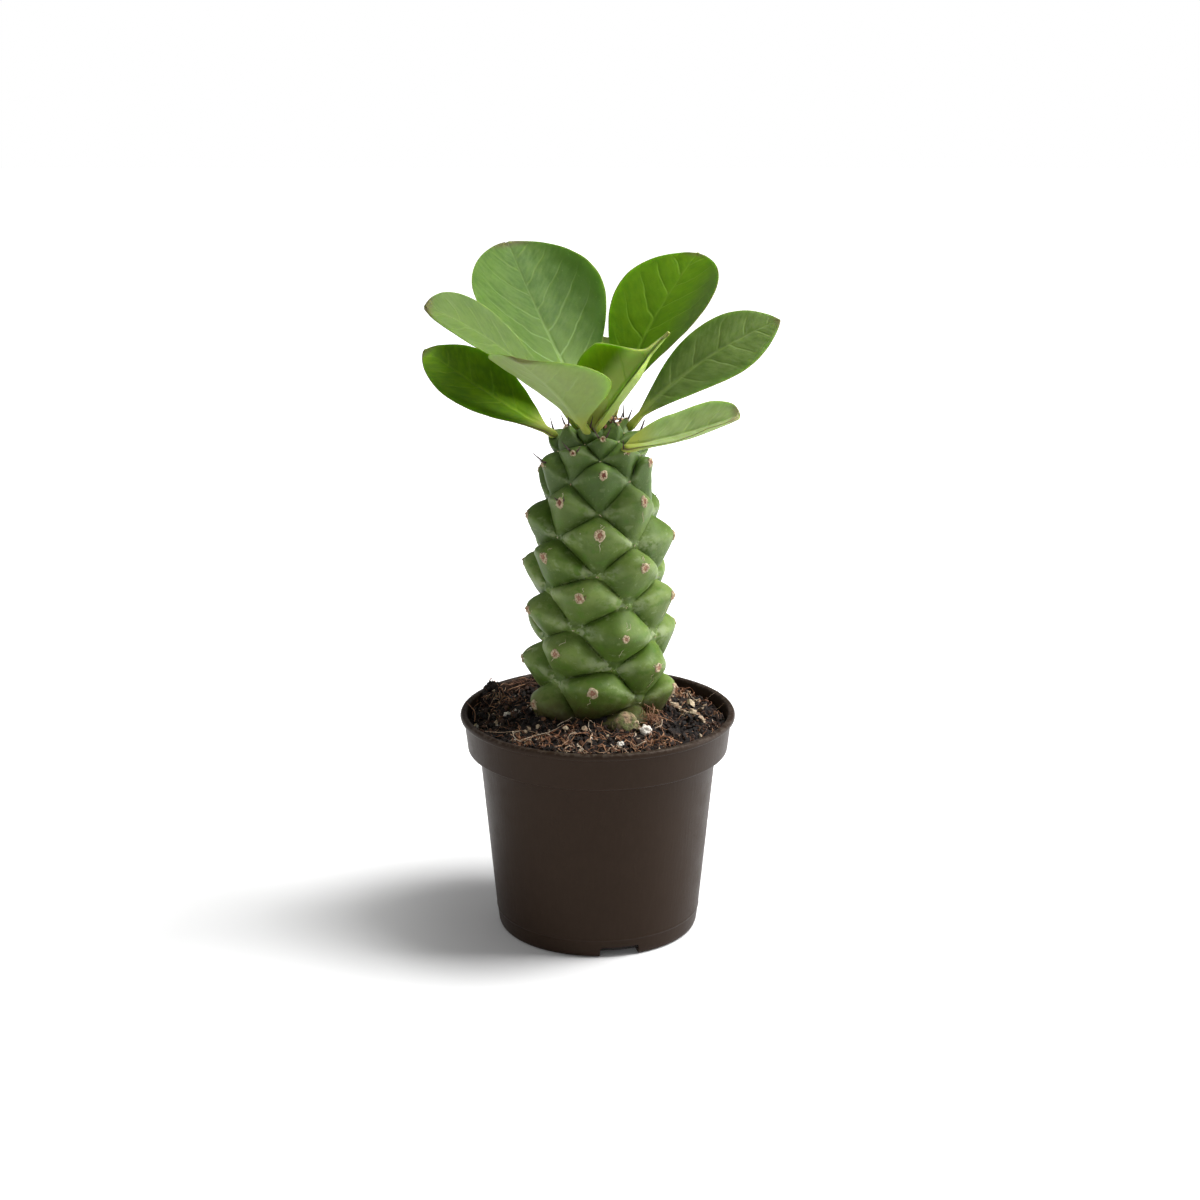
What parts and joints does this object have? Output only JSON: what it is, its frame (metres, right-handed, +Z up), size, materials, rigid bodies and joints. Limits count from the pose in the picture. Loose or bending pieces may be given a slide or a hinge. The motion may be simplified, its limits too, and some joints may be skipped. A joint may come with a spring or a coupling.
{
  "type": "potted euphorbia",
  "caption": "Upright knobbly succulent stem with fleshy oval leaves at its crown, rooted in potting mix in a round plastic nursery pot.",
  "frame": {"origin": "centre of the pot's flat underside, on the surface it stands on", "axes": "+Z up along the stem, -Y towards the front, +X to the right seen from the front"},
  "size_m": [0.1326, 0.105, 0.2579],
  "materials": {
    "pot_plastic": "satin, dark brown",
    "potting_mix": "rough, damp peat and coir",
    "stem_skin": "waxy, low sheen",
    "leaf_green": "waxy, soft sheen",
    "perlite": "matte, porous"
  },
  "bodies": {
    "root": {"pot": "pot_plastic", "potting_mix": "potting_mix", "stem": "stem_skin", "leaf_back_left": "leaf_green", "leaf_left": "leaf_green", "leaf_low_left": "leaf_green", "leaf_front_left": "leaf_green", "leaf_front": "leaf_green", "leaf_back_right": "leaf_green", "leaf_right": "leaf_green", "leaf_low_right": "leaf_green", "leaf_back": "leaf_green", "perlite_front": "perlite", "perlite_right": "perlite", "perlite_left": "perlite"}
  },
  "joints": []
}
